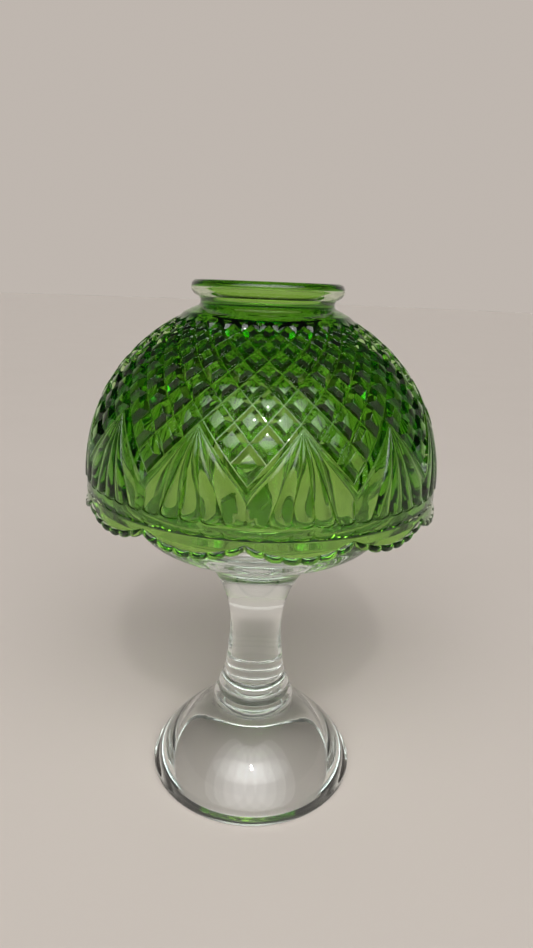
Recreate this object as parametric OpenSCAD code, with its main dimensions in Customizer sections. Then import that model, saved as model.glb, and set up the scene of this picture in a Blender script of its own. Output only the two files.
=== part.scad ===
// A pedestal fairy lamp: a clear pressed-glass pedestal bowl that holds a tealight, and a
// green pressed-glass dome shade that rests on the bowl's flange. Sizes are in millimetres.
// +Z is up, and the origin is the middle of the ring that the foot stands on.
// The shade's pattern is 12 fans below a field of flat-topped diamonds, one fan facing -Y.

/* [Foot] */
// Radius of the foot at its widest
foot_r = 48.2; // [44:0.1:56]
// Height of the foot's widest point
foot_edge_h = 2.5; // [1.5:0.1:4]
// Height of the foot's dome, up to the rings
foot_h = 31; // [26:0.5:38]
// How far the rim overhangs the ring that the foot stands on
foot_roll = 1.8; // [0.8:0.1:3]
// Width of the ring that the foot stands on
rest_w = 5.5; // [4:0.1:8]
// Glass over the top of the hollow under the foot
foot_cap = 3.5; // [2.5:0.1:6]

/* [Rings and stem] */
// Number of rings round the foot of the stem
ring_count = 3; // [1:1:4]
// Radius of the lowest ring
ring_r = 19.2; // [18:0.1:24]
// How much narrower each ring is than the one below it
ring_step = 2; // [1:0.1:2.5]
// Height of one ring
ring_h = 5.3; // [4:0.1:8]
// How far a ring swells out of the glass
ring_swell = 1.2; // [0.6:0.1:1.6]
// Width of the shelf between the foot's dome and the lowest ring
ring_shelf = 1.8; // [1:0.1:4]
// Height of the short slope from the foot's dome to the lowest ring
ring_slope_h = 2; // [1:0.1:4]
// Radius of the stem's waist
waist_r = 12; // [9:0.1:13.5]
// Height of the stem from the rings to its waist
stem_low_h = 25; // [18:0.5:40]
// Height of the stem from its waist to the bowl
stem_high_h = 34.5; // [28:0.5:42]
// Radius of the stem where it meets the bowl
stem_top_r = 26; // [22:0.1:28]

/* [Bowl] */
// Height of the bowl, from the stem to the top of its flange
bowl_h = 34.5; // [33:0.1:42]
// Outer radius of the bowl's wall
bowl_r = 55.7; // [52:0.1:58]
// Thickness of the bowl's wall
bowl_wall = 5.5; // [4:0.1:7]
// Glass below the bowl's floor, at the stem
floor_t = 11; // [9:0.1:12]
// Height of the bowl's wall below the flange's flare
bowl_wall_top = 11; // [9:0.1:13]
// Radius of the flange that carries the shade
flange_r = 69.2; // [66:0.1:72]
// Thickness of the flange at its edge
flange_t = 3.5; // [2.5:0.1:5]
// Rounding of the flange's edges
flange_round = 0.5; // [0.2:0.1:1]
// Depth of the recess that the tealight stands in
recess_d = 1.2; // [0.6:0.1:2.5]

/* [Shade] */
// Radius of the shade's dome, over the diamonds
shade_r = 75.5; // [74.5:0.1:82]
// Thickness of the glass under the grooves between the diamonds
shade_wall = 6.4; // [5:0.1:7]
// Width of the ledge that rests on the flange
ledge_w = 2.4; // [1.6:0.1:3]
// Height of the dome's centre above its ledge
centre_h = 5.3; // [3:0.1:8]
// Radius of the shoulder where the pattern ends
shoulder_r = 33.5; // [31:0.1:40]
// Outer radius of the neck
neck_r = 27.6; // [26:0.1:30]
// Radius of the neck's bore
bore_r = 23; // [20:0.1:24]
// Height from the shoulder to the underside of the lip
neck_h = 5.7; // [5:0.1:14]
// Outer radius of the lip
lip_r = 31.3; // [30.5:0.1:35]
// Height of the lip
lip_h = 6.6; // [6.4:0.1:9]
// Rounding of the lip's upper edges
lip_round = 2.4; // [1:0.1:2.6]
// Rounding of the lip's underside
lip_under = 3.8; // [2:0.1:4]

/* [Pattern] */
// Number of fans round the shade
fans = 12; // [9:1:14]
// Number of diamonds along each side of a fan
side_diamonds = 3; // [2:1:4]
// Height of a diamond for its width
diamond_slim = 1.2; // [1:0.05:1.4]
// Depth of the grooves between the diamonds
relief = 2.5; // [1:0.1:3]
// Share of a diamond's width that is its flat top
flat_top = 0.5; // [0.3:0.01:0.7]
// Height above the dome's centre where two fans meet
meet_h = 14.2; // [12:0.1:18]
// Height above the dome's centre where the fans end
fan_foot_h = 3.2; // [2:0.1:5]
// Number of flutes in a fan
flutes = 5; // [4:1:7]
// How far the fans' flutes swell
flute_swell = 2; // [0.8:0.1:2.4]
// Length of the rounded end of a flute
flute_end = 3; // [2:0.1:3.5]
// How far the plain band below the fans stands in from the diamonds
band_in = 1.1; // [0.6:0.1:1.6]

/* [Hem] */
// How far the hem's notches between lobes hang below the ledge
hem_cover = 2.7; // [1.4:0.1:4]
// Depth of a lobe of the hem
lobe_h = 4.5; // [2:0.1:6]
// Height of the beads along the hem
bead_h = 2.8; // [2:0.1:3.4]
// How far a bead stands out of the band
bead_out = 0.9; // [0.4:0.1:1.2]
// Depth of the notch between two beads
bead_notch = 1.1; // [0.5:0.1:1.3]

/* [Tealight] */
// Outer radius of the tealight's cup
cup_r = 19; // [17:0.1:20]
// Height of the cup
cup_h = 14; // [12:0.1:18]
// Thickness of the cup's metal
cup_t = 0.4; // [0.3:0.05:0.6]
// Width of the cup's turned-out rim
cup_rim = 0.5; // [0.3:0.1:0.8]
// How far the wax lies below the cup's rim
wax_below = 1.6; // [1:0.1:3]
// Radius of the wick
wick_r = 0.8; // [0.5:0.05:1.2]
// Length of wick above the wax
wick_out = 7; // [4:0.5:10]
// Radius of the wick's metal tab
tab_r = 6.5; // [5:0.1:9]
// Thickness of the tab's metal
tab_t = 0.4; // [0.3:0.05:0.6]
// Height of the tube that grips the wick
tube_h = 4; // [3:0.1:6]

/* [Clearances] */
// Gap at a seat where one piece stands on another
seat_gap = 0.2; // [0.1:0.05:0.4]
// Gap between the flange's edge and the shade's skirt
skirt_gap = 0.5; // [0.3:0.1:0.9]
// Gap round the tealight in its recess
recess_gap = 1; // [0.6:0.1:2]
// Gap between the pieces inside the candle
candle_gap = 0.08; // [0.05:0.01:0.15]

/* [Hidden] */
$fn = 96;

// Points on one curve, one swollen ring and one rounded edge
curve_steps = 12;
ring_steps = 8;
edge_steps = 5;

// Heights up the pedestal
ring_z = foot_h + ring_slope_h;
stem_z = ring_z + ring_count * ring_h;
waist_z = stem_z + stem_low_h;
bowl_z = waist_z + stem_high_h;
floor_z = bowl_z + floor_t;
flange_z = bowl_z + bowl_h;
wall_z = flange_z - bowl_wall_top;

// The shade from its seat upwards
ledge_z = flange_z + seat_gap;
centre_z = ledge_z + centre_h;
groove_r = shade_r - relief;
skirt_r = flange_r + skirt_gap;
inner_r = min(groove_r - shade_wall, norm([skirt_r - ledge_w, centre_h]));
shoulder_z = centre_z + sqrt(shade_r ^ 2 - shoulder_r ^ 2);
neck_z = shoulder_z + neck_h;
top_z = neck_z + lip_h;

// The neck's root is sunk into the top of the dome
root_in = 1;
root_d = 1.8;
mouth_flare = 0.6;
mouth_r = bore_r + mouth_flare;

// The pattern's columns, and its rows in the dome's even-angled height
columns = 2 * side_diamonds * fans;
column_a = 360 / columns;
row_step = diamond_slim * column_a * PI / 180;
meet_row = even_height(meet_h);
fan_foot = even_height(fan_foot_h);
rows = floor((arc_cosh(groove_r / shoulder_r) - meet_row) / row_step - 0.5);
apex_row = row_height(side_diamonds);
inner_rows = 8;

// The band and the hem
band_r = shade_r - band_in;
valley_z = ledge_z - hem_cover;
tip_z = valley_z - lobe_h;
hem_in = 1.3;

// The tealight from its recess upwards
recess_r = cup_r + recess_gap;
cup_z = floor_z - recess_d + seat_gap;
tab_z = cup_z + cup_t + candle_gap;
wax_z = cup_z + cup_h - wax_below;
wax_r = cup_r - cup_t - candle_gap;
tube_bore = wick_r + candle_gap;
tube_r = tube_bore + tab_t;

function cosh(x) = (exp(x) + exp(-x)) / 2;
function tanh(x) = (exp(x) - exp(-x)) / (exp(x) + exp(-x));
function arc_cosh(x) = ln(x + sqrt(x ^ 2 - 1));

// A height above the dome's centre as the even-angled height that keeps diamonds in shape
function even_height(h) = ln((groove_r + h) / (groove_r - h)) / 2;

function row_height(j) = meet_row + j * row_step;

// Points of a curve from p to q in a profile. leave and arrive are the shares of the way,
// across and up, that the handles at the two ends take
function curve(p, q, leave, arrive) =
    let (way = q - p)
    let (a = p + [way.x * leave.x, way.y * leave.y])
    let (b = q - [way.x * arrive.x, way.y * arrive.y])
    [for (k = [0 : curve_steps])
        let (t = k / curve_steps, s = 1 - t)
        s ^ 3 * p + 3 * s ^ 2 * t * a + 3 * s * t ^ 2 * b + t ^ 3 * q];

// Points of an arc in a profile, from one angle to another
function arc(middle, r, from, to) =
    [for (k = [0 : edge_steps])
        let (a = from + (to - from) * k / edge_steps)
        middle + r * [cos(a), sin(a)]];

// Points of a ring that swells out of the stem to radius r, from height z upwards
function swell(r, z) =
    [for (k = [0 : ring_steps])
        let (a = 180 * k / ring_steps)
        [r - ring_swell + ring_swell * sin(a), z + ring_h * (1 - cos(a)) / 2]];

module turned(profile) {
    rotate_extrude() polygon(profile);
}

// The pedestal is one pressed piece: hollow foot, rings, stem, bowl and flange
module pedestal_base() {
    rest_r = foot_r - foot_roll;
    foot_top_r = ring_r + ring_shelf;
    stem_r = ring_r - (ring_count - 1) * ring_step - ring_swell;
    flare_z = flange_z - flange_t;
    inside_r = bowl_r - bowl_wall;
    lip_in_r = inside_r + flange_round;
    edge_r = flange_r - flange_round;
    edge_z = flange_z - flange_round;
    floor_margin = 4;
    inside_low = 2;
    hollow = curve([0, foot_h - foot_cap], [rest_r - rest_w, 0], [0.72, 0], [0.05, 0.36]);
    foot = concat(
        curve([rest_r, 0], [foot_r, foot_edge_h], [0.6, 0], [0, 0.5]),
        curve([foot_r, foot_edge_h], [foot_top_r, foot_h], [0.11, 0.3], [0.37, 0.22]));
    rings = [for (k = [0 : ring_count - 1]) each swell(ring_r - k * ring_step, ring_z + k * ring_h)];
    stem = concat(
        curve([stem_r, stem_z], [waist_r, waist_z], [0.3, 0.33], [0, 0.33]),
        curve([waist_r, waist_z], [stem_top_r, bowl_z], [0, 0.28], [0.7, 0.26]));
    bowl = concat(
        curve([stem_top_r, bowl_z], [bowl_r, wall_z], [0.54, 0.44], [0, 0.56]),
        curve([bowl_r, wall_z], [edge_r, flare_z], [0, 0.5], [0.5, 0.15]));
    flange = concat(
        arc([edge_r, flare_z + flange_round], flange_round, -90, 0),
        arc([edge_r, edge_z], flange_round, 0, 90));
    inside = concat(
        arc([lip_in_r, edge_z], flange_round, 90, 180),
        curve([inside_r, wall_z + inside_low], [recess_r + floor_margin, floor_z], [0, 0.6], [0.38, 0]));
    recess = [[recess_r, floor_z], [recess_r, floor_z - recess_d], [0, floor_z - recess_d]];
    color([0.86, 0.9, 0.89, 0.6])
        turned(concat(hollow, foot, rings, stem, bowl, flange, inside, recess));
}

// A point of the shade's outside, a given height over the grooves' sphere
function on_dome(column, height, out) =
    let (r = (groove_r + out) / cosh(height), a = column * column_a - 90)
    [r * cos(a), r * sin(a), centre_z + (groove_r + out) * tanh(height)];

function round_point(column, r, z) =
    let (a = column * column_a - 90)
    [r * cos(a), r * sin(a), z];

// Columns from the middle of the nearest fan
function from_fan(column) =
    let (period = 2 * side_diamonds)
    column - period * round(column / period);

// The lobed line of the hem, without its beads
function hem_z(column) = tip_z + lobe_h * (from_fan(column) / side_diamonds) ^ 2;

// A level ring of points, and a ring of points from the hem's line upwards
function level(r, z) = [for (i = [0 : columns - 1]) round_point(i, r, z)];

function hem_ring(bead_r, bead_up, notch_r, notch_up) =
    [for (q = [0 : 2 * columns - 1])
        let (c = q / 2, on_bead = q % 2 == 1)
        round_point(c, on_bead ? bead_r : notch_r, hem_z(c) + (on_bead ? bead_up : notch_up))];

// Triangles that join a ring to the next ring along the wall, both of n points
function joined(a, b, n) =
    [for (i = [0 : n - 1])
        let (k = (i + 1) % n)
        each [[a + i, b + i, b + k], [a + i, b + k, a + k]]];

// The same between a ring of n points and a ring of m points that start at one angle
function zipped(a, n, b, m) = concat(
    [for (i = [0 : n - 1]) [a + i, b + round((i + 0.5) * m / n) % m, a + (i + 1) % n]],
    [for (k = [0 : m - 1]) [a + ceil((k + 0.5) * n / m - 0.5) % n, b + k, b + (k + 1) % m]]);

// Triangles of a strip between two equal rows of points that start at one shared corner
function strip(upper, lower) =
    [for (m = [1 : len(upper) - 1])
        each m == 1
            ? [[lower[1], upper[0], upper[1]]]
            : [[lower[m], lower[m - 1], upper[m - 1]], [lower[m], upper[m - 1], upper[m]]]];

// The dome of the shade as one closed wall, from its pressed outside round to its smooth inside
module dome_wall() {
    n = side_diamonds;
    period = 2 * n;
    rings_n = 2 * columns;
    feet_n = 2 * flutes * fans;
    flute_a = n / flutes;

    // Flutes meet in grooves, and one flute ends at each side of a fan
    function on_crest(q) = abs(q + flutes) % 2 == 1;

    // The middles of the diamonds, above the sides of the fans
    middles = [for (j = [1 : rows - 1], i = [0 : columns - 1])
        if ((i + j + n) % 2 == 1 && j > n - abs(from_fan(i))) [i, j]];
    corners = [[-1, 0], [0, 1], [1, 0], [0, -1]];

    // Points, group by group
    grid = [for (j = [0 : rows], i = [0 : columns - 1]) on_dome(i, row_height(j), 0)];
    tops = [for (d = middles, c = corners)
        on_dome(d.x + flat_top * c.x, row_height(d.y + flat_top * c.y), relief)];
    flute_lines = [for (f = [0 : fans - 1], q = [-flutes : flutes], m = [1 : n - 1])
        let (t = m / n)
        on_dome(f * period + q * flute_a * t, apex_row + (fan_foot - apex_row) * t,
            on_crest(q) ? flute_swell * sqrt(t) : 0)];
    flute_feet = [for (q = [0 : feet_n - 1])
        on_dome(q * flute_a, fan_foot, on_crest(q) ? flute_swell : 0)];
    scallops = [for (q = [0 : feet_n - 1])
        round_point(q * flute_a, band_r, centre_z + fan_foot_h - (on_crest(q) ? flute_end : flute_end / 3))];
    bead_tops = hem_ring(band_r, bead_h, band_r, bead_h);
    bead_fronts = hem_ring(band_r + bead_out, bead_h / 2, band_r, bead_h * 0.6);
    bead_feet = hem_ring(band_r - hem_in, 0, band_r - hem_in, bead_notch);
    skirt_foot = hem_ring(skirt_r, bead_notch, skirt_r, bead_notch);
    inside_low = asin((ledge_z - centre_z) / inner_r);
    inside_high = acos(mouth_r / inner_r);
    inside = [for (k = [0 : inner_rows])
        let (a = inside_high + (inside_low - inside_high) * k / inner_rows)
        each level(inner_r * cos(a), centre_z + inner_r * sin(a))];
    groups = [grid, tops, flute_lines, flute_feet, scallops, bead_tops, bead_fronts, bead_feet,
        skirt_foot, level(skirt_r, ledge_z), inside, level(mouth_r, shoulder_z),
        level(shoulder_r, shoulder_z)];

    // Where each group starts in the list of all points
    start = [for (k = 0, s = 0; k < len(groups); s = s + len(groups[k]), k = k + 1) s];
    function cell(i, j) = start[0] + j * columns + (i + columns) % columns;
    function foot(q) = start[3] + (q + feet_n) % feet_n;
    function along_flute(f, q, m) =
        m == 0 ? cell(f * period, n)
        : m == n ? foot(2 * f * flutes + q)
        : start[2] + (f * (2 * flutes + 1) + q + flutes) * (n - 1) + m - 1;
    function flute_line(f, q) = [for (m = [0 : n]) along_flute(f, q, m)];
    function fan_side(f, way) = [for (m = [0 : n]) cell(f * period + way * m, n - m)];

    diamond_faces = [for (k = [0 : len(middles) - 1])
        let (d = middles[k], t = start[1] + 4 * k)
        let (edge = [for (c = corners) cell(d.x + c.x, d.y + c.y)])
        each concat(
            [[t, t + 1, t + 2], [t, t + 2, t + 3]],
            [for (c = [0 : 3]) let (e = (c + 1) % 4)
                each [[edge[c], edge[e], t + e], [edge[c], t + e, t + c]]])];
    flute_faces = [for (f = [0 : fans - 1], q = [-flutes : flutes - 1])
        each strip(flute_line(f, q + 1), flute_line(f, q))];
    side_faces = [for (f = [0 : fans - 1])
        each concat(
            strip(fan_side(f, 1), flute_line(f, flutes)),
            strip(flute_line(f, -flutes), fan_side(f, -1)))];
    crown_faces = [for (i = [0 : columns - 1])
        if ((i + rows + n) % 2 == 1)
            let (ring = start[12], a = cell(i - 1, rows), b = cell(i + 1, rows))
            let (r0 = ring + (i - 1 + columns) % columns, r2 = ring + (i + 1) % columns)
            each [[cell(i, rows - 1), a, b], [a, r0, ring + i], [a, ring + i, b], [b, ring + i, r2]]];
    skirt_faces = [for (i = [0 : columns - 1])
        let (k = (i + 1) % columns, a = start[9], b = start[8])
        each [[a + i, b + 2 * i, b + 2 * i + 1], [a + i, b + 2 * i + 1, a + k],
            [a + k, b + 2 * i + 1, b + 2 * k]]];
    hem_faces = [for (k = [8 : -1 : 6]) each joined(start[k], start[k - 1], rings_n)];
    band_faces = concat(
        zipped(start[5], rings_n, start[4], feet_n),
        joined(start[4], start[3], feet_n));
    inside_faces = [for (k = [0 : inner_rows - 1])
        each joined(start[10] + k * columns, start[10] + (k + 1) * columns, columns)];
    ledge_faces = joined(start[10] + inner_rows * columns, start[9], columns);
    mouth_faces = concat(
        joined(start[11], start[10], columns),
        joined(start[12], start[11], columns));
    polyhedron(
        [for (g = groups) each g],
        concat(diamond_faces, flute_faces, side_faces, crown_faces, skirt_faces, hem_faces,
            band_faces, inside_faces, ledge_faces, mouth_faces));
}

// The neck and its rolled lip stand on the dome's shoulder
module neck() {
    root_r = shoulder_r - root_in;
    lip_in = bore_r + lip_round;
    lip_out = lip_r - lip_round;
    under_r = lip_r - lip_under;
    wall = concat(
        [[bore_r, shoulder_z - root_d], [root_r, shoulder_z - root_d]],
        curve([root_r, shoulder_z], [neck_r, neck_z - neck_h * 0.4], [0.5, 0.5], [0, 0.5]),
        [[neck_r, neck_z - neck_h * 0.2]],
        arc([under_r, neck_z + lip_under], lip_under, -80, 0),
        arc([lip_out, top_z - lip_round], lip_round, 0, 90),
        arc([lip_in, top_z - lip_round], lip_round, 90, 180));
    turned(wall);
}

module dome_shade() {
    color([0.18, 0.55, 0.08, 0.75])
        union() {
            dome_wall();
            neck();
        }
}

module tealight_cup() {
    rim_z = cup_z + cup_h;
    wall_r = cup_r - cup_t;
    color([0.8, 0.81, 0.82])
        turned([[0, cup_z], [cup_r, cup_z], [cup_r, rim_z - cup_t], [cup_r + cup_rim, rim_z - cup_t],
            [cup_r + cup_rim, rim_z], [wall_r, rim_z], [wall_r, cup_z + cup_t], [0, cup_z + cup_t]]);
}

// The wax is cast round the tab, its tube and the wick
module candle_wax() {
    gap = candle_gap;
    foot_z = tab_z;
    tab_top = tab_z + tab_t + gap;
    tube_top = tab_z + tube_h + gap;
    wick_hole = wick_r + gap;
    rim_in = 1.2;
    rim_drop = 0.5;
    color([0.95, 0.92, 0.84])
        turned(concat(
            [[tab_r + gap, foot_z], [wax_r, foot_z]],
            curve([wax_r, wax_z - rim_drop], [wax_r - rim_in, wax_z], [0, 0.6], [0.6, 0]),
            [[wick_hole, wax_z], [wick_hole, tube_top], [tube_r + gap, tube_top],
                [tube_r + gap, tab_top], [tab_r + gap, tab_top]]));
}

module candle_wick() {
    tip_round = wick_r / 2;
    tip = wax_z + wick_out;
    color([0.93, 0.9, 0.82])
        turned(concat(
            [[0, tab_z], [wick_r, tab_z]],
            arc([wick_r - tip_round, tip - tip_round], tip_round, 0, 90),
            [[0, tip]]));
}

module wick_tab() {
    color([0.7, 0.71, 0.72])
        turned([[tube_bore, tab_z], [tab_r, tab_z], [tab_r, tab_z + tab_t], [tube_r, tab_z + tab_t],
            [tube_r, tab_z + tube_h], [tube_bore, tab_z + tube_h]]);
}

pedestal_base();
dome_shade();
tealight_cup();
candle_wax();
candle_wick();
wick_tab();
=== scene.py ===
"""Looks of a pedestal fairy lamp: a pressed-glass dome shade, stained green inside, rests on a clear
pressed-glass pedestal bowl that holds a tealight. Meshes are modelled in mm and finished in metres."""
from math import acos, asin, atanh, cos, cosh, pi, radians, sin, sqrt, tanh

import bmesh
import bpy
from mathutils import Matrix, Vector


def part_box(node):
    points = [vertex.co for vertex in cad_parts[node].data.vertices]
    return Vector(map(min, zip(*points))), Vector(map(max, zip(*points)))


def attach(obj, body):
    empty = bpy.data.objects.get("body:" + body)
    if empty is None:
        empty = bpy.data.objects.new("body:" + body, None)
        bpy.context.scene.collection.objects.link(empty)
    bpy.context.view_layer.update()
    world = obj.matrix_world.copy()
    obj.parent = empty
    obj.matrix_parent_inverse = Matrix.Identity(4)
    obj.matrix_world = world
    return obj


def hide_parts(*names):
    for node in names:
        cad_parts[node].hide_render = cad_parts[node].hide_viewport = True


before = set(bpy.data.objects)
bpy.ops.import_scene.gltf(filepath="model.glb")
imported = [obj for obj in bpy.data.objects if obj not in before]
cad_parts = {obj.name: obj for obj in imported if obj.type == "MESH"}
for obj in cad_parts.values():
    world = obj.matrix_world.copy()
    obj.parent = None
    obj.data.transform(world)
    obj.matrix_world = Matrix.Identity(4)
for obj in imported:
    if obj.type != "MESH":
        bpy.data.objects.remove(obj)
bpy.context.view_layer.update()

MM = 0.001


def top_of(node):
    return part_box(node)[1][2] / MM


def foot_of(node):
    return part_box(node)[0][2] / MM


# Pedestal, from the table up
FOOT_R = 48.2
FOOT_EDGE_H = 2.5
FOOT_H = 31.0
FOOT_ROLL = 1.8
REST_W = 5.5
FOOT_CAP = 3.5
RING_COUNT = 3
RING_R = 19.2
RING_STEP = 2.0
RING_H = 5.3
RING_SWELL = 1.2
RING_SHELF = 1.8
RING_SLOPE_H = 2.0
RING_POINTS = 12
WAIST_R = 12.0
STEM_LOW_H = 25.0
STEM_HIGH_H = 34.5
STEM_TOP_R = 26.0
BOWL_R = 55.7
BOWL_WALL = 5.5
BOWL_WALL_TOP = 11.0
BOWL_HOLLOW_UP = 2.0
FLOOR_T = 11.0
FLANGE_R = 69.2
FLANGE_T = 3.5
FLANGE_ROUND = 0.5
RECESS_R = 20.0
RECESS_D = 1.2
RECESS_RIM_W = 4.0
RECESS_EDGE = 0.4
RECESS_FILLET = 0.3
FLANGE_Z = top_of("pedestal_base")

# Shade, from its ledge up
SEAT_GAP = 0.2
SKIRT_GAP = 0.5
SHADE_R = 75.5
RELIEF = 2.5
GROOVE_R = SHADE_R - RELIEF
INNER_R = 66.6
INNER_STEPS = 24
CENTRE_H = 5.3
SHOULDER_R = 33.5
NECK_R = 27.6
BORE_R = 23.0
BORE_FLARE = 1.2
BORE_END = 1.5
LIP_R = 31.3
LIP_H = 6.6
LIP_ROUND = 2.4
LIP_UNDER = 3.8
LEDGE_Z = FLANGE_Z + SEAT_GAP
CENTRE_Z = LEDGE_Z + CENTRE_H
SKIRT_R = FLANGE_R + SKIRT_GAP
SHADE_TOP = top_of("dome_shade")
SHOULDER_Z = CENTRE_Z + sqrt(SHADE_R ** 2 - SHOULDER_R ** 2)

# Between the pattern's crown and the lip: a round shoulder, then a cove up to the neck
SHOULDER_START_W = 1.4
SHOULDER_START_H = 1.3
SHOULDER_END_W = 1.0
SHOULDER_END_H = 0.3
COVE_START_W = 1.6
COVE_START_H = 0.6
COVE_END_H = 2.3
NECK_END_H = 1.2
BORE_START_H = 0.3

# The pressed pattern, laid flat: x runs round the shade, y up it and z out of it
FANS = 12
# Diamonds along one slanting side of a fan
SIDE = 3
# Rows of diamonds above the place where two fans meet
ROWS = 11
DIAMOND_TALL = 1.2
COLUMN = GROOVE_R * pi / (SIDE * FANS)
ROW = COLUMN * DIAMOND_TALL
MEET_H = 14.2
MEET_Y = GROOVE_R * atanh(MEET_H / GROOVE_R)
APEX_Y = MEET_Y + SIDE * ROW
CROWN_Y = MEET_Y + ROWS * ROW
CROWN_REACH = 0.5
GROOVE_W = 0.4
DIAMOND_SIDE_W = 2.25
EDGE_SOFT = 0.14
RUN_OUT = ROW
SOFT_ROWS = 3

# Points closer than this are merged, in the pattern and in turned shapes
MERGE = 0.01
MERGE_FINE = 0.004

# Fans
FAN_FOOT_Y = 3.2
RIDGE_DROP = 3.0
RIDGE_H = 2.2
RIDGE_FOOT = 0.1
RIDGE_TOP = 0.78
FLUTES = 5
FLUTE_COLUMNS = 12
FOOT_COLUMNS = FLUTES * FLUTE_COLUMNS
SIDE_COLUMNS = 8
FAN_STEPS = 24
FLUTE_DEPTH = 1.6
FLUTE_EASE = 0.8
FLUTE_ROUND = 0.6
CREST_DROP = 0.15
SIDE_SHARE = 0.2
CLOSING_FROM = 0.8
CLOSING_COLUMNS = 4
CLOSING_SHARE = 0.15
SCALLOP = 1.5

# Band and hem below the fans
BAND_H = 1.5
LINE_W = 0.75
LINE_D = 0.45
LOWER_LINE = 4.6
HEM_COVER = 2.7
LOBE_H = 4.5
BEAD_COLUMNS = 10
BEAD_STEPS = 10
BEAD_H = 2.8
BEAD_OUT = 0.9
BEAD_NOTCH = 1.1
HEM_IN = 1.3
HEM_UP = 0.1
STAINED_RINGS = 2
COAT_GAP = 0.06
COAT_T = 0.3

# Tealight
CUP_R = 19.0
CUP_RIM_R = 19.5
CUP_FLAT = 1.2
CUP_ROUND = 1.0
# Rings of points in the cup's wall, this far below its rim, where the pleats fade
CUP_RINGS = (5.0, 2.5)
FOIL_T = 0.4
FOIL_LIP = 0.05
FOIL_SLOPE_W = 0.8
FOIL_SLOPE_H = 1.2
PLEATS = 40
PLEAT_D = 0.09
PLEAT_START = 2.0
PLEAT_FULL = 6.0
PLEAT_FADE = 3.0
PLEAT_END = 1.0
PLEAT_NEAR = 0.1
WAX_GAP = 0.25
WAX_EDGE_D = 0.2
WAX_DIP = 0.55
WAX_CLING_W = 1.4
WAX_DIP_W = 1.6
MOUND_R = 3.2
MOUND_D = 0.35
MOUND_SIDE_R = 3.0
MOUND_SIDE_D = 0.34
MOUND_TOP_R = 0.9
WICK_R = 0.74
WICK_STEPS = 60
# The wick's rounded tip, each point's radius and how far it lies below the top
WICK_TIP = ((0.6, 0.2), (0.35, 0.05), (0, 0))
WICK_TIP_H = 0.5
STRANDS = 3
STRAND_SWELL = 0.07
STRAND_TWIST = 2.4
# Points nearer the axis than this stay where they are
AXIS_R = 0.1

# How far round from the front the camera stands
VIEW_TURN = radians(-11.4)

# Floor, in metres, then the room's colours and the turns of the lamps in front, in degrees
FLOOR_R = 8.0
FLOOR_GAP = 0.0002
PALE_WALL = (0.52, 0.47, 0.428)
DIM_ROOM = (0.03, 0.029, 0.027)
KEY_TURNS = range(-46, 25, 14)

# How often light may bounce on its way through the glass
GLASS_BOUNCES = 32
GLOSSY_BOUNCES = 12


def between(a, b, t):
    return a + (b - a) * t


def share_of(start, end, value):
    """How far a value has come from start to end, from 0 to 1."""
    return max(0, min(1, (value - start) / (end - start)))


def round_back(part, power=0.5):
    """Rises from 0 at both ends of a part to 1 at its middle. A power of a half gives a half circle."""
    return (1 - (2 * part - 1) ** 2) ** power


def curve(p, q, leave, arrive, steps=16):
    """Points of a profile's curve from p to q. leave and arrive are the shares of the way, across
    and up, that the handles at the two ends take."""
    p, q = Vector(p), Vector(q)
    way = q - p
    a = p + Vector((way.x * leave[0], way.y * leave[1]))
    b = q - Vector((way.x * arrive[0], way.y * arrive[1]))
    points = []
    for k in range(steps + 1):
        t = k / steps
        s = 1 - t
        points.append(s ** 3 * p + 3 * s * s * t * a + 3 * s * t * t * b + t ** 3 * q)
    return points


def arc(middle, r, start, end, steps=8):
    """Points of a profile's arc between two angles in degrees."""
    turns = [radians(between(start, end, k / steps)) for k in range(steps + 1)]
    return [Vector(middle) + r * Vector((cos(a), sin(a))) for a in turns]


def lathe(profile, steps):
    """A closed turned shape from a profile of (radius, height)."""
    bm = bmesh.new()
    points = [bm.verts.new((p[0], 0, p[1])) for p in profile]
    edges = [bm.edges.new(pair) for pair in zip(points, points[1:])]
    bmesh.ops.spin(bm, geom=points + edges, axis=(0, 0, 1), angle=2 * pi, steps=steps, use_merge=True)
    bmesh.ops.remove_doubles(bm, verts=bm.verts, dist=MERGE_FINE)
    bmesh.ops.recalc_face_normals(bm, faces=bm.faces)
    return bm


def ripple(bm, rule):
    """Moves the points of a turned shape out or in. The rule gives the share of its radius that a
    point keeps, from its turn, radius and height."""
    for v in bm.verts:
        flat = Vector((v.co.x, v.co.y))
        if flat.length > AXIS_R:
            share = rule(Vector((1, 0)).angle_signed(flat), flat.length, v.co.z)
            v.co.x *= share
            v.co.y *= share


def finish_piece(bm, name, body, finish, node=None, sharp=30):
    """Makes the piece from its mesh, smooth but for edges sharper than an angle in degrees."""
    bmesh.ops.scale(bm, vec=(MM, MM, MM), verts=bm.verts)
    mesh = bpy.data.meshes.new(name)
    bm.to_mesh(mesh)
    bm.free()
    mesh.shade_smooth()
    mesh.set_sharp_from_angle(angle=radians(sharp))
    mesh.materials.append(finish)
    piece = bpy.data.objects.new(name, mesh)
    bpy.context.scene.collection.objects.link(piece)
    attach(piece, body)
    if node:
        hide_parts(node)


class Value:
    """A shader value. Arithmetic on it adds Math nodes to its finish."""

    def __init__(self, finish, socket):
        self.finish = finish
        self.socket = socket

    def maths(self, operation, a, b):
        return self.finish.add("ShaderNodeMath", {"operation": operation}, {0: a, 1: b})

    def __add__(self, other):
        return self.maths("ADD", self, other)

    def __sub__(self, other):
        return self.maths("SUBTRACT", self, other)

    def __rsub__(self, other):
        return self.maths("SUBTRACT", other, self)

    def __mul__(self, other):
        return self.maths("MULTIPLY", self, other)

    __radd__ = __add__
    __rmul__ = __mul__


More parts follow.
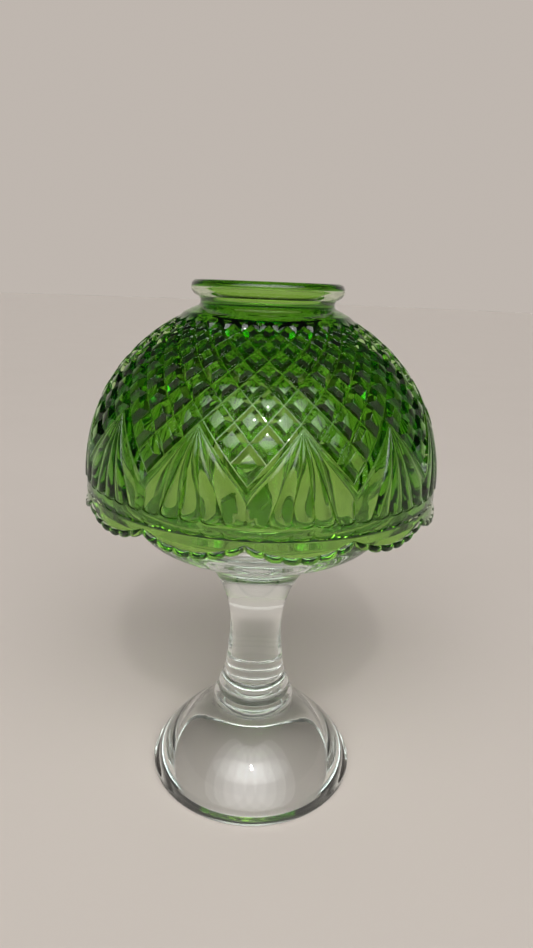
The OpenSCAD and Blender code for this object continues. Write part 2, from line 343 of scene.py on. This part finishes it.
class Finish:
    """A material, or the world, built node by node."""

    def __init__(self, owner):
        owner.use_nodes = True
        self.owner = owner
        self.tree = owner.node_tree
        self.tree.nodes.clear()

    def add(self, kind, settings=None, sockets=None, output=0):
        """Adds one node: first its settings, then the values or links of its sockets."""
        node = self.tree.nodes.new(kind)
        for name, value in (settings or {}).items():
            setattr(node, name, value)
        for name, value in (sockets or {}).items():
            if isinstance(value, Value):
                self.tree.links.new(value.socket, node.inputs[name])
            else:
                node.inputs[name].default_value = value
        return Value(self, node.outputs[output]) if node.outputs else None

    def ramp(self, value, start, end, first, last):
        """Runs from first to last while a value runs from start to end."""
        return self.add("ShaderNodeMapRange", {}, {"Value": value, 1: start, 2: end, 3: first, 4: last})

    def mix(self, share, a, b):
        """A colour between two colours, each a triple or another node's."""
        a, b = (c if isinstance(c, Value) else (*c, 1) for c in (a, b))
        return self.add("ShaderNodeMix", {"data_type": "RGBA"}, {"Factor": share, 6: a, 7: b}, output=2)


def place(finish, stretch=(1, 1, 1)):
    """Object coordinates, stretched."""
    spot = finish.add("ShaderNodeTexCoord", output="Object")
    return finish.add("ShaderNodeMapping", {}, {"Vector": spot, "Scale": stretch})


def noise(finish, scale, detail=3.0, stretch=(1, 1, 1)):
    return finish.add("ShaderNodeTexNoise", {}, {
        "Vector": place(finish, stretch), "Scale": scale, "Detail": detail, "Roughness": 0.5})


def pressed_glass(name, stain, absorbed, density):
    """Fire-polished pressed glass: slow waves from the mould, a faint haze, a weak body colour and, where
    the mesh says so, a stain fired onto the surface."""
    finish = Finish(bpy.data.materials.new(name))
    waves = noise(finish, scale=60, detail=2) * 0.75 + noise(finish, scale=260, detail=2) * 0.25
    bump = finish.add("ShaderNodeBump", {}, {"Strength": 0.07, "Distance": 0.0006, "Height": waves})
    film = noise(finish, scale=90, detail=5)
    colour = finish.mix(film, (1, 1, 1), (0.975, 0.99, 0.98))
    if stain:
        stained = finish.add("ShaderNodeAttribute", {"attribute_name": "stain"}, output="Fac")
        thin, thick = stain
        colour = finish.mix(stained, colour, finish.mix(noise(finish, scale=30), thin, thick))
    surface = finish.add("ShaderNodeBsdfPrincipled", {}, {
        "Base Color": colour, "Roughness": film * 0.02, "IOR": 1.52, "Transmission Weight": 1.0,
        "Normal": bump})
    body = finish.add("ShaderNodeVolumeAbsorption", {}, {"Color": (*absorbed, 1), "Density": density})
    finish.add("ShaderNodeOutputMaterial", {}, {"Surface": surface, "Volume": body})
    return finish.owner


def fired_stain():
    """The green stain itself, a thin layer inside the glass that bends no light."""
    finish = Finish(bpy.data.materials.new("fired_stain"))
    colour = finish.mix(noise(finish, scale=30), (1, 1, 1), (0.9, 0.98, 0.86))
    surface = finish.add("ShaderNodeBsdfPrincipled", {}, {
        "Base Color": colour, "Roughness": 0.0, "IOR": 1.0, "Transmission Weight": 1.0})
    body = finish.add("ShaderNodeVolumeAbsorption", {}, {"Color": (0.5, 0.79, 0.02, 1), "Density": 3800})
    finish.add("ShaderNodeOutputMaterial", {}, {"Surface": surface, "Volume": body})
    return finish.owner


def cup_foil():
    """Bright foil, scored upwards where it was drawn and a little smudged."""
    finish = Finish(bpy.data.materials.new("cup_foil"))
    drawn = noise(finish, scale=900, detail=4, stretch=(1, 1, 0.08))
    smudge = noise(finish, scale=120, detail=4)
    bump = finish.add("ShaderNodeBump", {}, {"Strength": 0.25, "Distance": 0.0002, "Height": drawn})
    colour = finish.mix(smudge, (0.86, 0.87, 0.88), (0.7, 0.7, 0.71))
    surface = finish.add("ShaderNodeBsdfPrincipled", {}, {
        "Base Color": colour, "Metallic": 1.0, "Roughness": smudge * 0.2 + 0.16, "Normal": bump})
    finish.add("ShaderNodeOutputMaterial", {}, {"Surface": surface})
    return finish.owner


def paraffin():
    """Cloudy white wax with a fine grain."""
    finish = Finish(bpy.data.materials.new("paraffin"))
    cloud = noise(finish, scale=150, detail=4)
    grain = noise(finish, scale=1400)
    bump = finish.add("ShaderNodeBump", {}, {
        "Strength": 0.3, "Distance": 0.0002, "Height": cloud * 0.8 + grain * 0.2})
    colour = finish.mix(cloud, (0.93, 0.89, 0.8), (0.86, 0.82, 0.72))
    surface = finish.add("ShaderNodeBsdfPrincipled", {}, {
        "Base Color": colour, "Roughness": grain * 0.2 + 0.38, "Normal": bump})
    finish.add("ShaderNodeOutputMaterial", {}, {"Surface": surface})
    return finish.owner


def waxed_cotton():
    """Cotton fibres that run along the wick."""
    finish = Finish(bpy.data.materials.new("waxed_cotton"))
    fibre = noise(finish, scale=2600, stretch=(1, 1, 0.3))
    bump = finish.add("ShaderNodeBump", {}, {"Strength": 0.5, "Distance": 0.0002, "Height": fibre})
    colour = finish.mix(fibre, (0.9, 0.86, 0.76), (0.72, 0.66, 0.54))
    surface = finish.add("ShaderNodeBsdfPrincipled", {}, {
        "Base Color": colour, "Roughness": fibre * 0.2 + 0.6, "Normal": bump})
    finish.add("ShaderNodeOutputMaterial", {}, {"Surface": surface})
    return finish.owner


def tinned_steel():
    """Rolled sheet with a dull tin coat."""
    finish = Finish(bpy.data.materials.new("tinned_steel"))
    rolled = noise(finish, scale=1500, stretch=(1, 0.1, 1))
    colour = finish.mix(rolled, (0.72, 0.73, 0.74), (0.56, 0.56, 0.57))
    surface = finish.add("ShaderNodeBsdfPrincipled", {}, {
        "Base Color": colour, "Metallic": 1.0, "Roughness": rolled * 0.2 + 0.25})
    finish.add("ShaderNodeOutputMaterial", {}, {"Surface": surface})
    return finish.owner


def from_fan(x):
    """Distance round the shade from the middle of the nearest fan."""
    period = 2 * SIDE * COLUMN
    return x - period * round(x / period)


def on_fan_side(vert):
    """True where a flat point lies on the slanting side of a fan."""
    side_y = APEX_Y - abs(from_fan(vert.co.x)) * ROW / COLUMN
    return abs(vert.co.y - side_y) < MERGE and abs(vert.co.z) < MERGE


def diamond_field(bm):
    """The flat-topped diamonds above one fan, from the fan's sides to the crown. They start as a grid
    that stands on its corner, with its cells one unit apart across and up."""
    cells = 4 * SIDE + 4
    on_corner = Matrix.Translation((0, SIDE + 2, 0)) @ Matrix.Rotation(pi / 4, 4, "Z")
    bmesh.ops.create_grid(bm, x_segments=cells, y_segments=cells, size=cells * sqrt(0.5), matrix=on_corner)

    def in_field(face):
        middle = face.calc_center_median()
        column, row = round(middle.x), round(middle.y)
        return -SIDE < column <= SIDE and SIDE + 1 - abs(column) <= row <= ROWS

    bmesh.ops.delete(bm, geom=[f for f in bm.faces if not in_field(f)], context="FACES")
    bmesh.ops.scale(bm, vec=(COLUMN, ROW, 1), verts=bm.verts)
    bmesh.ops.translate(bm, vec=(0, MEET_Y, 0), verts=bm.verts)
    diamonds = list(bm.faces)
    bmesh.ops.inset_individual(bm, faces=diamonds, thickness=GROOVE_W / 2, use_even_offset=True)
    bmesh.ops.inset_individual(bm, faces=diamonds, thickness=DIAMOND_SIDE_W, depth=RELIEF,
                               use_even_offset=True)
    rims = list({e for f in diamonds for e in f.edges})
    bmesh.ops.bevel(bm, geom=rims, offset=EDGE_SOFT, segments=2, profile=0.5, affect="EDGES", material=-1)
    bmesh.ops.bisect_plane(bm, geom=bm.verts[:] + bm.edges[:] + bm.faces[:], plane_co=(0, CROWN_Y, 0),
                           plane_no=(0, 1, 0), clear_outer=True)
    sides = [e for e in bm.edges if e.is_boundary and all(on_fan_side(v) for v in e.verts)]
    bmesh.ops.subdivide_edges(bm, edges=sides, cuts=FAN_STEPS // SIDE - 1)


def fan_bevels(bm):
    """The two slanting faces that rise from the diamonds' grooves to the ridges of the fan."""
    lines = ((0, 0), (RIDGE_FOOT, 0), (RIDGE_TOP, RIDGE_H), (1, RIDGE_H))
    last = len(lines) - 1
    for way in (-1, 1):
        grid = bmesh.ops.create_grid(bm, x_segments=FAN_STEPS, y_segments=last, size=0.5)
        for v in grid["verts"]:
            along = v.co.x + 0.5
            across, height = lines[round((v.co.y + 0.5) * last)]
            v.co = (way * along * SIDE * COLUMN, APEX_Y - along * SIDE * ROW - across * RIDGE_DROP, height)


def flute_foot(column):
    """Flat place where a flute ends: along the fan's scalloped foot, or up one of its upright sides."""
    corner = SIDE * COLUMN
    beyond = max(-column, column - FOOT_COLUMNS)
    if beyond > 0:
        side_y = between(FAN_FOOT_Y, MEET_Y - RIDGE_DROP, beyond / SIDE_COLUMNS)
        return Vector((-corner if column < 0 else corner, side_y))
    x = between(-corner, corner, column / FOOT_COLUMNS)
    return Vector((x, FAN_FOOT_Y - SCALLOP * round_back(column / FLUTE_COLUMNS % 1)))


def flute_height(column, along):
    """Height of the flutes at a column of the fan's foot, a share of the way down from the apex. The
    outer flutes lean on the fan's upright sides and close at their feet."""
    inward = min(column, FOOT_COLUMNS - column)
    groove = RIDGE_H - FLUTE_DEPTH * along ** FLUTE_EASE
    crest = RIDGE_H - CREST_DROP * along
    if inward >= FLUTE_COLUMNS:
        return between(groove, crest, round_back(inward / FLUTE_COLUMNS % 1, FLUTE_ROUND))
    part = share_of(-SIDE_COLUMNS, FLUTE_COLUMNS, inward)
    low = between(RIDGE_H, groove, share_of(0, SIDE_SHARE, part))
    height = between(low, crest, round_back(part, FLUTE_ROUND))
    closing = share_of(CLOSING_FROM, 1, along) ** 2
    closing *= share_of(CLOSING_COLUMNS, 0, inward) * share_of(0, CLOSING_SHARE, part)
    return between(height, groove, closing)


def fan_flutes(bm):
    """The flutes that spread from the fan's apex to its scalloped foot and its upright sides."""
    apex = Vector((0, APEX_Y - RIDGE_DROP))
    total = FOOT_COLUMNS + 2 * SIDE_COLUMNS
    grid = bmesh.ops.create_grid(bm, x_segments=total, y_segments=FAN_STEPS, size=0.5)
    for v in grid["verts"]:
        column = round((v.co.x + 0.5) * total) - SIDE_COLUMNS
        along = round((v.co.y + 0.5) * FAN_STEPS) / FAN_STEPS
        spot = apex.lerp(flute_foot(column), along)
        v.co = (spot.x, spot.y, flute_height(column, along))


def hem_rings(column):
    """Flat heights and reliefs from a fan's foot down over two fine lines and the bead, and up inside
    the skirt to the ledge."""
    skirt_h = SKIRT_R - GROOVE_R
    foot = flute_foot(column)
    swell = round_back(column / BEAD_COLUMNS % 1)
    hem = -CENTRE_H - HEM_COVER - LOBE_H * (1 - (foot.x / (SIDE * COLUMN)) ** 2)
    yield foot.y, flute_height(column, 1)
    for line in (foot.y - LINE_W / 3, foot.y - LOWER_LINE):
        yield line, BAND_H
        yield line - LINE_W / 3, BAND_H - LINE_D
        yield line - LINE_W * 2 / 3, BAND_H - LINE_D
        yield line - LINE_W, BAND_H
    yield between(foot.y - LOWER_LINE - LINE_W, hem + BEAD_H, 0.5), BAND_H
    for k in range(BEAD_STEPS + 1):
        turn = pi * k / BEAD_STEPS
        notch = BEAD_NOTCH * (1 - swell) * (1 - cos(turn)) / 2
        yield hem + notch + BEAD_H * (1 + cos(turn)) / 2, BAND_H + BEAD_OUT * swell * sin(turn)
    yield hem + BEAD_NOTCH * (1 - swell) + HEM_UP, BAND_H - HEM_IN
    yield hem + BEAD_NOTCH, skirt_h
    yield -CENTRE_H, skirt_h


def band_and_hem(bm, stain):
    """The plain band below a fan, its lobe of beads, and the stained skirt inside up to the ledge."""
    shapes = [list(hem_rings(c)) for c in range(FOOT_COLUMNS + 1)]
    last = len(shapes[0]) - 1
    grid = bmesh.ops.create_grid(bm, x_segments=FOOT_COLUMNS, y_segments=last, size=0.5)
    for v in grid["verts"]:
        column = round((v.co.x + 0.5) * FOOT_COLUMNS)
        ring = round((v.co.y + 0.5) * last)
        y, height = shapes[column][ring]
        v.co = (flute_foot(column).x, y, height)
        v[stain] = 1 if ring > last - STAINED_RINGS else 0


def wrap(vert):
    """Rolls a flat point onto the dome above its widest line, or straight down below it. The relief
    gets lower as the dome narrows, and the grooves run out below the crown."""
    turn = vert.co.x / GROOVE_R - pi / 2
    height = max(vert.co.y, 0) / GROOVE_R
    out = between(RELIEF, vert.co.z, share_of(CROWN_Y, CROWN_Y - RUN_OUT, vert.co.y))
    r = GROOVE_R + out / sqrt(cosh(height))
    round_r = r / cosh(height)
    z = CENTRE_Z + min(vert.co.y, 0) + r * tanh(height)
    vert.co = (round_r * cos(turn), round_r * sin(turn), z)


def soften_crown(bm):
    """Rounds the upper rows of diamonds, which the mould leaves soft."""
    soft_z = CENTRE_Z + GROOVE_R * tanh((CROWN_Y - SOFT_ROWS * ROW) / GROOVE_R)
    edges = [e for e in bm.edges if all(v.co.z > soft_z for v in e.verts)]
    bmesh.ops.subdivide_edges(bm, edges=edges, cuts=1, use_grid_fill=True)
    upper = [v for v in bm.verts if v.co.z > soft_z and not v.is_boundary]
    bmesh.ops.smooth_vert(bm, verts=upper, factor=0.5, use_axis_x=True, use_axis_y=True, use_axis_z=True)


def neck():
    """Profile of the shade from the crown of the pattern over the lip to the edge of the bore."""
    neck_z = SHADE_TOP - LIP_H
    lip_z = SHADE_TOP - LIP_ROUND
    under_r = LIP_R - LIP_UNDER
    shoulder_start = (SHOULDER_R + SHOULDER_START_W, SHOULDER_Z - SHOULDER_START_H)
    shoulder_end = (SHOULDER_R - SHOULDER_END_W, SHOULDER_Z + SHOULDER_END_H)
    cove_start = (SHOULDER_R - COVE_START_W, SHOULDER_Z + COVE_START_H)
    cove_end = (NECK_R, neck_z - COVE_END_H)
    profile = curve(shoulder_start, shoulder_end, (0.3, 0.5), (0.5, 0.3), steps=5)
    profile += curve(cove_start, cove_end, (0.5, 0.5), (0, 0.5), steps=8)
    profile.append(Vector((NECK_R, neck_z - NECK_END_H)))
    profile += arc((under_r, neck_z + LIP_UNDER), LIP_UNDER, -80, 0)
    profile += arc((LIP_R - LIP_ROUND, lip_z), LIP_ROUND, 0, 90, steps=6)
    profile += arc((BORE_R + LIP_ROUND, lip_z), LIP_ROUND, 90, 180, steps=6)
    return profile


def inside():
    """Profile of the shade's stained inside, from the bore down to the ledge."""
    mouth = acos((BORE_R + BORE_FLARE) / INNER_R)
    ledge = asin(-CENTRE_H / INNER_R)
    turns = [between(mouth, ledge, k / INNER_STEPS) for k in range(INNER_STEPS + 1)]
    profile = [Vector((BORE_R, SHADE_TOP - LIP_ROUND - BORE_START_H))]
    profile.append(Vector((BORE_R, SHOULDER_Z - BORE_END)))
    profile += [Vector((INNER_R * cos(a), CENTRE_Z + INNER_R * sin(a))) for a in turns]
    return profile


def extrude_rings(bm, edges, profile, layer, stained):
    """Carries a round open edge along a profile of (radius, height), and gives back the last edge."""
    for r, z in profile:
        made = bmesh.ops.extrude_edge_only(bm, edges=edges)["geom"]
        for v in (g for g in made if isinstance(g, bmesh.types.BMVert)):
            flat = Vector((v.co.x, v.co.y)).normalized()
            v.co = (flat.x * r, flat.y * r, z)
            v[layer] = stained
        edges = [g for g in made if isinstance(g, bmesh.types.BMEdge) and g.is_boundary]
    return edges


def stain_coat(shade):
    """A thin layer just inside the stained part of the shade's wall."""
    coat = shade.copy()
    stain = coat.verts.layers.float["stain"]
    bare = [f for f in coat.faces if any(v[stain] == 0 for v in f.verts)]
    bmesh.ops.delete(coat, geom=bare, context="FACES")
    for v in coat.verts:
        v.co -= v.normal * COAT_GAP
    bmesh.ops.solidify(coat, geom=coat.faces[:], thickness=COAT_T)
    bmesh.ops.recalc_face_normals(coat, faces=coat.faces)
    return coat


def dome_shade(glass, green_stain):
    """The shade's glass: one fan's share of the pattern, repeated round, then the neck and the inside.
    The stain on its inside is a piece of its own."""
    bm = bmesh.new()
    stain = bm.verts.layers.float.new("stain")
    diamond_field(bm)
    fan_bevels(bm)
    fan_flutes(bm)
    band_and_hem(bm, stain)
    for v in bm.verts:
        wrap(v)
    sector = bm.verts[:] + bm.edges[:] + bm.faces[:]
    for k in range(1, FANS):
        copy = bmesh.ops.duplicate(bm, geom=sector)["geom"]
        bmesh.ops.rotate(bm, verts=[g for g in copy if isinstance(g, bmesh.types.BMVert)],
                         matrix=Matrix.Rotation(2 * pi * k / FANS, 3, "Z"))
    bmesh.ops.remove_doubles(bm, verts=bm.verts, dist=MERGE)
    soften_crown(bm)
    crown_z = CENTRE_Z + GROOVE_R * tanh(CROWN_Y / GROOVE_R) - CROWN_REACH
    crown = [e for e in bm.edges if e.is_boundary and all(v.co.z > crown_z for v in e.verts)]
    mouth = extrude_rings(bm, crown, neck(), stain, 0)
    extrude_rings(bm, mouth, inside(), stain, 1)
    bmesh.ops.bridge_loops(bm, edges=[e for e in bm.edges if e.is_boundary])
    bmesh.ops.recalc_face_normals(bm, faces=bm.faces)
    coat = stain_coat(bm)
    finish_piece(bm, "shade_glass", "shade", glass, "dome_shade", sharp=24)
    finish_piece(coat, "shade_stain", "shade", green_stain)


def pedestal_profile():
    """Half a section of the pedestal, from the top of the hollow under the foot round to the recess."""
    rest_r = FOOT_R - FOOT_ROLL
    shelf_r = RING_R + RING_SHELF
    ring_z = FOOT_H + RING_SLOPE_H
    stem_z = ring_z + RING_COUNT * RING_H
    stem_r = RING_R - (RING_COUNT - 1) * RING_STEP - RING_SWELL
    waist_z = stem_z + STEM_LOW_H
    bowl_z = waist_z + STEM_HIGH_H
    floor_z = bowl_z + FLOOR_T
    wall_z = FLANGE_Z - BOWL_WALL_TOP
    flare_z = FLANGE_Z - FLANGE_T
    inside_r = BOWL_R - BOWL_WALL
    edge_r = FLANGE_R - FLANGE_ROUND
    edge_z = FLANGE_Z - FLANGE_ROUND
    hollow_z = wall_z + BOWL_HOLLOW_UP
    recess_z = floor_z - RECESS_D
    edge, fillet = RECESS_EDGE, RECESS_FILLET
    profile = curve((0, FOOT_H - FOOT_CAP), (rest_r - REST_W, 0), (0.72, 0), (0.05, 0.36), steps=32)
    profile += curve((rest_r, 0), (FOOT_R, FOOT_EDGE_H), (0.6, 0), (0, 0.5), steps=8)
    profile += curve((FOOT_R, FOOT_EDGE_H), (shelf_r, FOOT_H), (0.11, 0.3), (0.37, 0.22), steps=28)
    for k in range(RING_COUNT):
        inner = RING_R - k * RING_STEP - RING_SWELL
        for n in range(RING_POINTS + 1):
            a = pi * n / RING_POINTS
            z = ring_z + (k + (1 - cos(a)) / 2) * RING_H
            profile.append(Vector((inner + RING_SWELL * sin(a), z)))
    profile += curve((stem_r, stem_z), (WAIST_R, waist_z), (0.3, 0.33), (0, 0.33), steps=20)
    profile += curve((WAIST_R, waist_z), (STEM_TOP_R, bowl_z), (0, 0.28), (0.7, 0.26), steps=24)
    profile += curve((STEM_TOP_R, bowl_z), (BOWL_R, wall_z), (0.54, 0.44), (0, 0.56), steps=28)
    profile += curve((BOWL_R, wall_z), (edge_r, flare_z), (0, 0.5), (0.5, 0.15))
    profile += arc((edge_r, flare_z + FLANGE_ROUND), FLANGE_ROUND, -90, 0)
    profile += arc((edge_r, edge_z), FLANGE_ROUND, 0, 90)
    profile += arc((inside_r + FLANGE_ROUND, edge_z), FLANGE_ROUND, 90, 180)
    profile += curve((inside_r, hollow_z), (RECESS_R + RECESS_RIM_W, floor_z), (0, 0.6), (0.38, 0), steps=20)
    profile += arc((RECESS_R + edge, floor_z - edge), edge, 90, 180, steps=4)
    profile += arc((RECESS_R - fillet, recess_z + fillet), fillet, 0, -90, steps=4)
    profile.append(Vector((0, recess_z)))
    return profile


def pedestal(finish):
    bm = lathe(pedestal_profile(), steps=160)
    finish_piece(bm, "pedestal_glass", "base", finish, "pedestal_base", sharp=40)


def foil_cup(finish):
    """The drawn cup, with a rolled rim and shallow pleats in its wall."""
    foot = foot_of("tealight_cup")
    rim = top_of("tealight_cup")
    wall = CUP_R - FOIL_T
    roll = FOIL_T / 2
    profile = [(0, foot), (CUP_R - CUP_FLAT, foot)]
    profile += arc((CUP_R - CUP_ROUND, foot + CUP_ROUND), CUP_ROUND, -90, 0)
    profile += [(CUP_R, rim - down) for down in CUP_RINGS]
    profile.append((CUP_R, rim - FOIL_T))
    profile += arc((CUP_RIM_R - roll, rim - roll), roll, -90, 90)
    profile += [(wall, rim - FOIL_LIP), (wall, foot + FOIL_SLOPE_H)]
    profile += [(wall - FOIL_SLOPE_W, foot + FOIL_T), (0, foot + FOIL_T)]

    def pleat(turn, r, z):
        if r < wall - PLEAT_NEAR:
            return 1
        full = share_of(foot + PLEAT_START, foot + PLEAT_FULL, z)
        full *= share_of(rim - PLEAT_END, rim - PLEAT_FADE, z)
        return 1 - PLEAT_D * full * (1 + cos(PLEATS * turn)) / r

    bm = lathe(profile, steps=240)
    ripple(bm, pleat)
    finish_piece(bm, "foil_cup", "candle", finish, "tealight_cup", sharp=50)


def wax_block(finish):
    """The poured wax, which sinks a little as it sets but clings to the cup and to the wick."""
    foot = foot_of("candle_wax")
    top = top_of("candle_wax")
    wax_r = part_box("candle_wax")[1][0] / MM - WAX_GAP
    dip = top - WAX_DIP
    profile = [(0, foot), (wax_r, foot)]
    profile += curve((wax_r, top - WAX_EDGE_D), (wax_r - WAX_CLING_W, dip), (0.1, 0.6), (0.6, 0), steps=6)
    profile += curve((wax_r - WAX_DIP_W, dip), (MOUND_R, top - MOUND_D), (0.3, 0), (0.3, 0), steps=12)
    profile += curve((MOUND_SIDE_R, top - MOUND_SIDE_D), (MOUND_TOP_R, top), (0.4, 0), (0.3, 0.6), steps=8)
    profile.append((0, top))
    finish_piece(lathe(profile, steps=128), "wax_block", "candle", finish, "candle_wax", sharp=50)


def cotton_wick(finish):
    """The wick, twisted from a few strands."""
    foot = foot_of("candle_wick")
    top = top_of("candle_wick")
    profile = [(0, foot)]
    profile += [(WICK_R, between(foot, top - WICK_TIP_H, k / WICK_STEPS)) for k in range(WICK_STEPS + 1)]
    profile += [(r, top - down) for r, down in WICK_TIP]

    def strand(turn, r, z):
        return 1 + STRAND_SWELL * cos(STRANDS * turn + STRAND_TWIST * z)

    bm = lathe(profile, steps=36)
    ripple(bm, strand)
    finish_piece(bm, "cotton_wick", "candle", finish, "candle_wick", sharp=60)


def stage():
    """A plain pale floor under the lamp."""
    finish = Finish(bpy.data.materials.new("pale_floor"))
    grain = noise(finish, scale=8)
    colour = finish.mix(grain, (0.655, 0.593, 0.541), (0.635, 0.573, 0.521))
    surface = finish.add("ShaderNodeBsdfPrincipled", {}, {
        "Base Color": colour, "Roughness": 0.9, "Specular IOR Level": 0.0})
    finish.add("ShaderNodeOutputMaterial", {}, {"Surface": surface})
    bm = bmesh.new()
    bmesh.ops.create_circle(bm, cap_ends=True, segments=96, radius=FLOOR_R)
    mesh = bpy.data.meshes.new("floor")
    bm.to_mesh(mesh)
    bm.free()
    mesh.materials.append(finish.owner)
    floor = bpy.data.objects.new("floor", mesh)
    floor.location.z = -FLOOR_GAP
    bpy.context.scene.collection.objects.link(floor)


def surround():
    """A dim room: paler towards the horizon, with a pale wall behind the lamp that fades out sideways."""
    world = bpy.data.worlds.new("surround")
    bpy.context.scene.world = world
    finish = Finish(world)
    direction = finish.add("ShaderNodeTexCoord", output="Generated")
    height = finish.add("ShaderNodeSeparateXYZ", {}, {"Vector": direction}, output="Z")
    facing = finish.add("ShaderNodeVectorMath", {"operation": "DOT_PRODUCT"}, {
        0: direction, 1: (-sin(VIEW_TURN), cos(VIEW_TURN), 0)}, output="Value")
    horizon = finish.ramp(height, start=0.0, end=0.03, first=1, last=0)
    around = finish.ramp(height, start=0.0, end=0.45, first=0.45, last=0)
    wall_up = finish.ramp(height, start=0.37, end=0.6, first=1, last=0)
    wall = wall_up * finish.ramp(facing, start=0.5, end=0.87, first=0, last=1)
    dark = (1 - horizon) * (1 - around) * (1 - wall)
    light = finish.add("ShaderNodeBackground", {}, {
        "Color": finish.mix(dark, PALE_WALL, DIM_ROOM), "Strength": 1.0})
    finish.add("ShaderNodeOutputWorld", {}, {"Surface": light})


def soft_sun(name, turn, height, spread, power):
    """A broad soft light from far away: its turn from the front, height and spread are in degrees."""
    sun = bpy.data.lights.new(name, "SUN")
    sun.angle = radians(spread)
    sun.energy = power
    thing = bpy.data.objects.new(name, sun)
    thing.rotation_euler = (radians(90 - height), 0, radians(turn))
    bpy.context.scene.collection.objects.link(thing)


def small_lamp(name, spot, aim, size, power):
    """A small disc light for the highlights: its place, what it points at and its size are in mm."""
    lamp = bpy.data.lights.new(name, "AREA")
    lamp.shape = "DISK"
    lamp.size = size * MM
    lamp.energy = power
    thing = bpy.data.objects.new(name, lamp)
    thing.location = Vector(spot) * MM
    thing.rotation_euler = (Vector(spot) - Vector(aim)).to_track_quat("Z", "Y").to_euler()
    bpy.context.scene.collection.objects.link(thing)


def camera():
    """The photograph's view: 279 mm from the lamp's axis, 228 mm up and looking 16.3 degrees down."""
    distance, height = 279.1, 228.1
    pitch = radians(16.27)
    yaw = radians(-0.47)
    roll = radians(2.25)
    image_h = 948
    focal_length = 657
    data = bpy.data.cameras.new("camera")
    data.sensor_width = 36
    data.lens = data.sensor_width * focal_length / image_h
    data.clip_start = 0.01
    eye = bpy.data.objects.new("camera", data)
    eye.matrix_world = (
        Matrix.Translation(Vector((sin(VIEW_TURN) * distance, -cos(VIEW_TURN) * distance, height)) * MM)
        @ Matrix.Rotation(VIEW_TURN + yaw, 4, "Z")
        @ Matrix.Rotation(pi / 2 - pitch, 4, "X")
        @ Matrix.Rotation(roll, 4, "Z"))
    bpy.context.scene.collection.objects.link(eye)
    bpy.context.scene.camera = eye


camera()
stage()
surround()
for turn in KEY_TURNS:
    soft_sun(f"key_{turn}", turn, height=42, spread=44, power=0.56)
small_lamp("spark", spot=(-120, -700, 900), aim=(0, 0, 120), size=60, power=1.5)

green = pressed_glass("green_glass", stain=((0.52, 0.76, 0.21), (0.46, 0.70, 0.16)),
                      absorbed=(0.6, 0.85, 0.3), density=20)
clear = pressed_glass("clear_glass", stain=None, absorbed=(0.55, 0.8, 0.7), density=4)
dome_shade(green, fired_stain())
pedestal(clear)
foil_cup(cup_foil())
wax_block(paraffin())
cotton_wick(waxed_cotton())
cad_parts["wick_tab"].data.materials.clear()
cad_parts["wick_tab"].data.materials.append(tinned_steel())

scene = bpy.context.scene
scene.view_settings.view_transform = "Standard"
scene.cycles.max_bounces = GLASS_BOUNCES
scene.cycles.transmission_bounces = GLASS_BOUNCES
scene.cycles.glossy_bounces = GLOSSY_BOUNCES
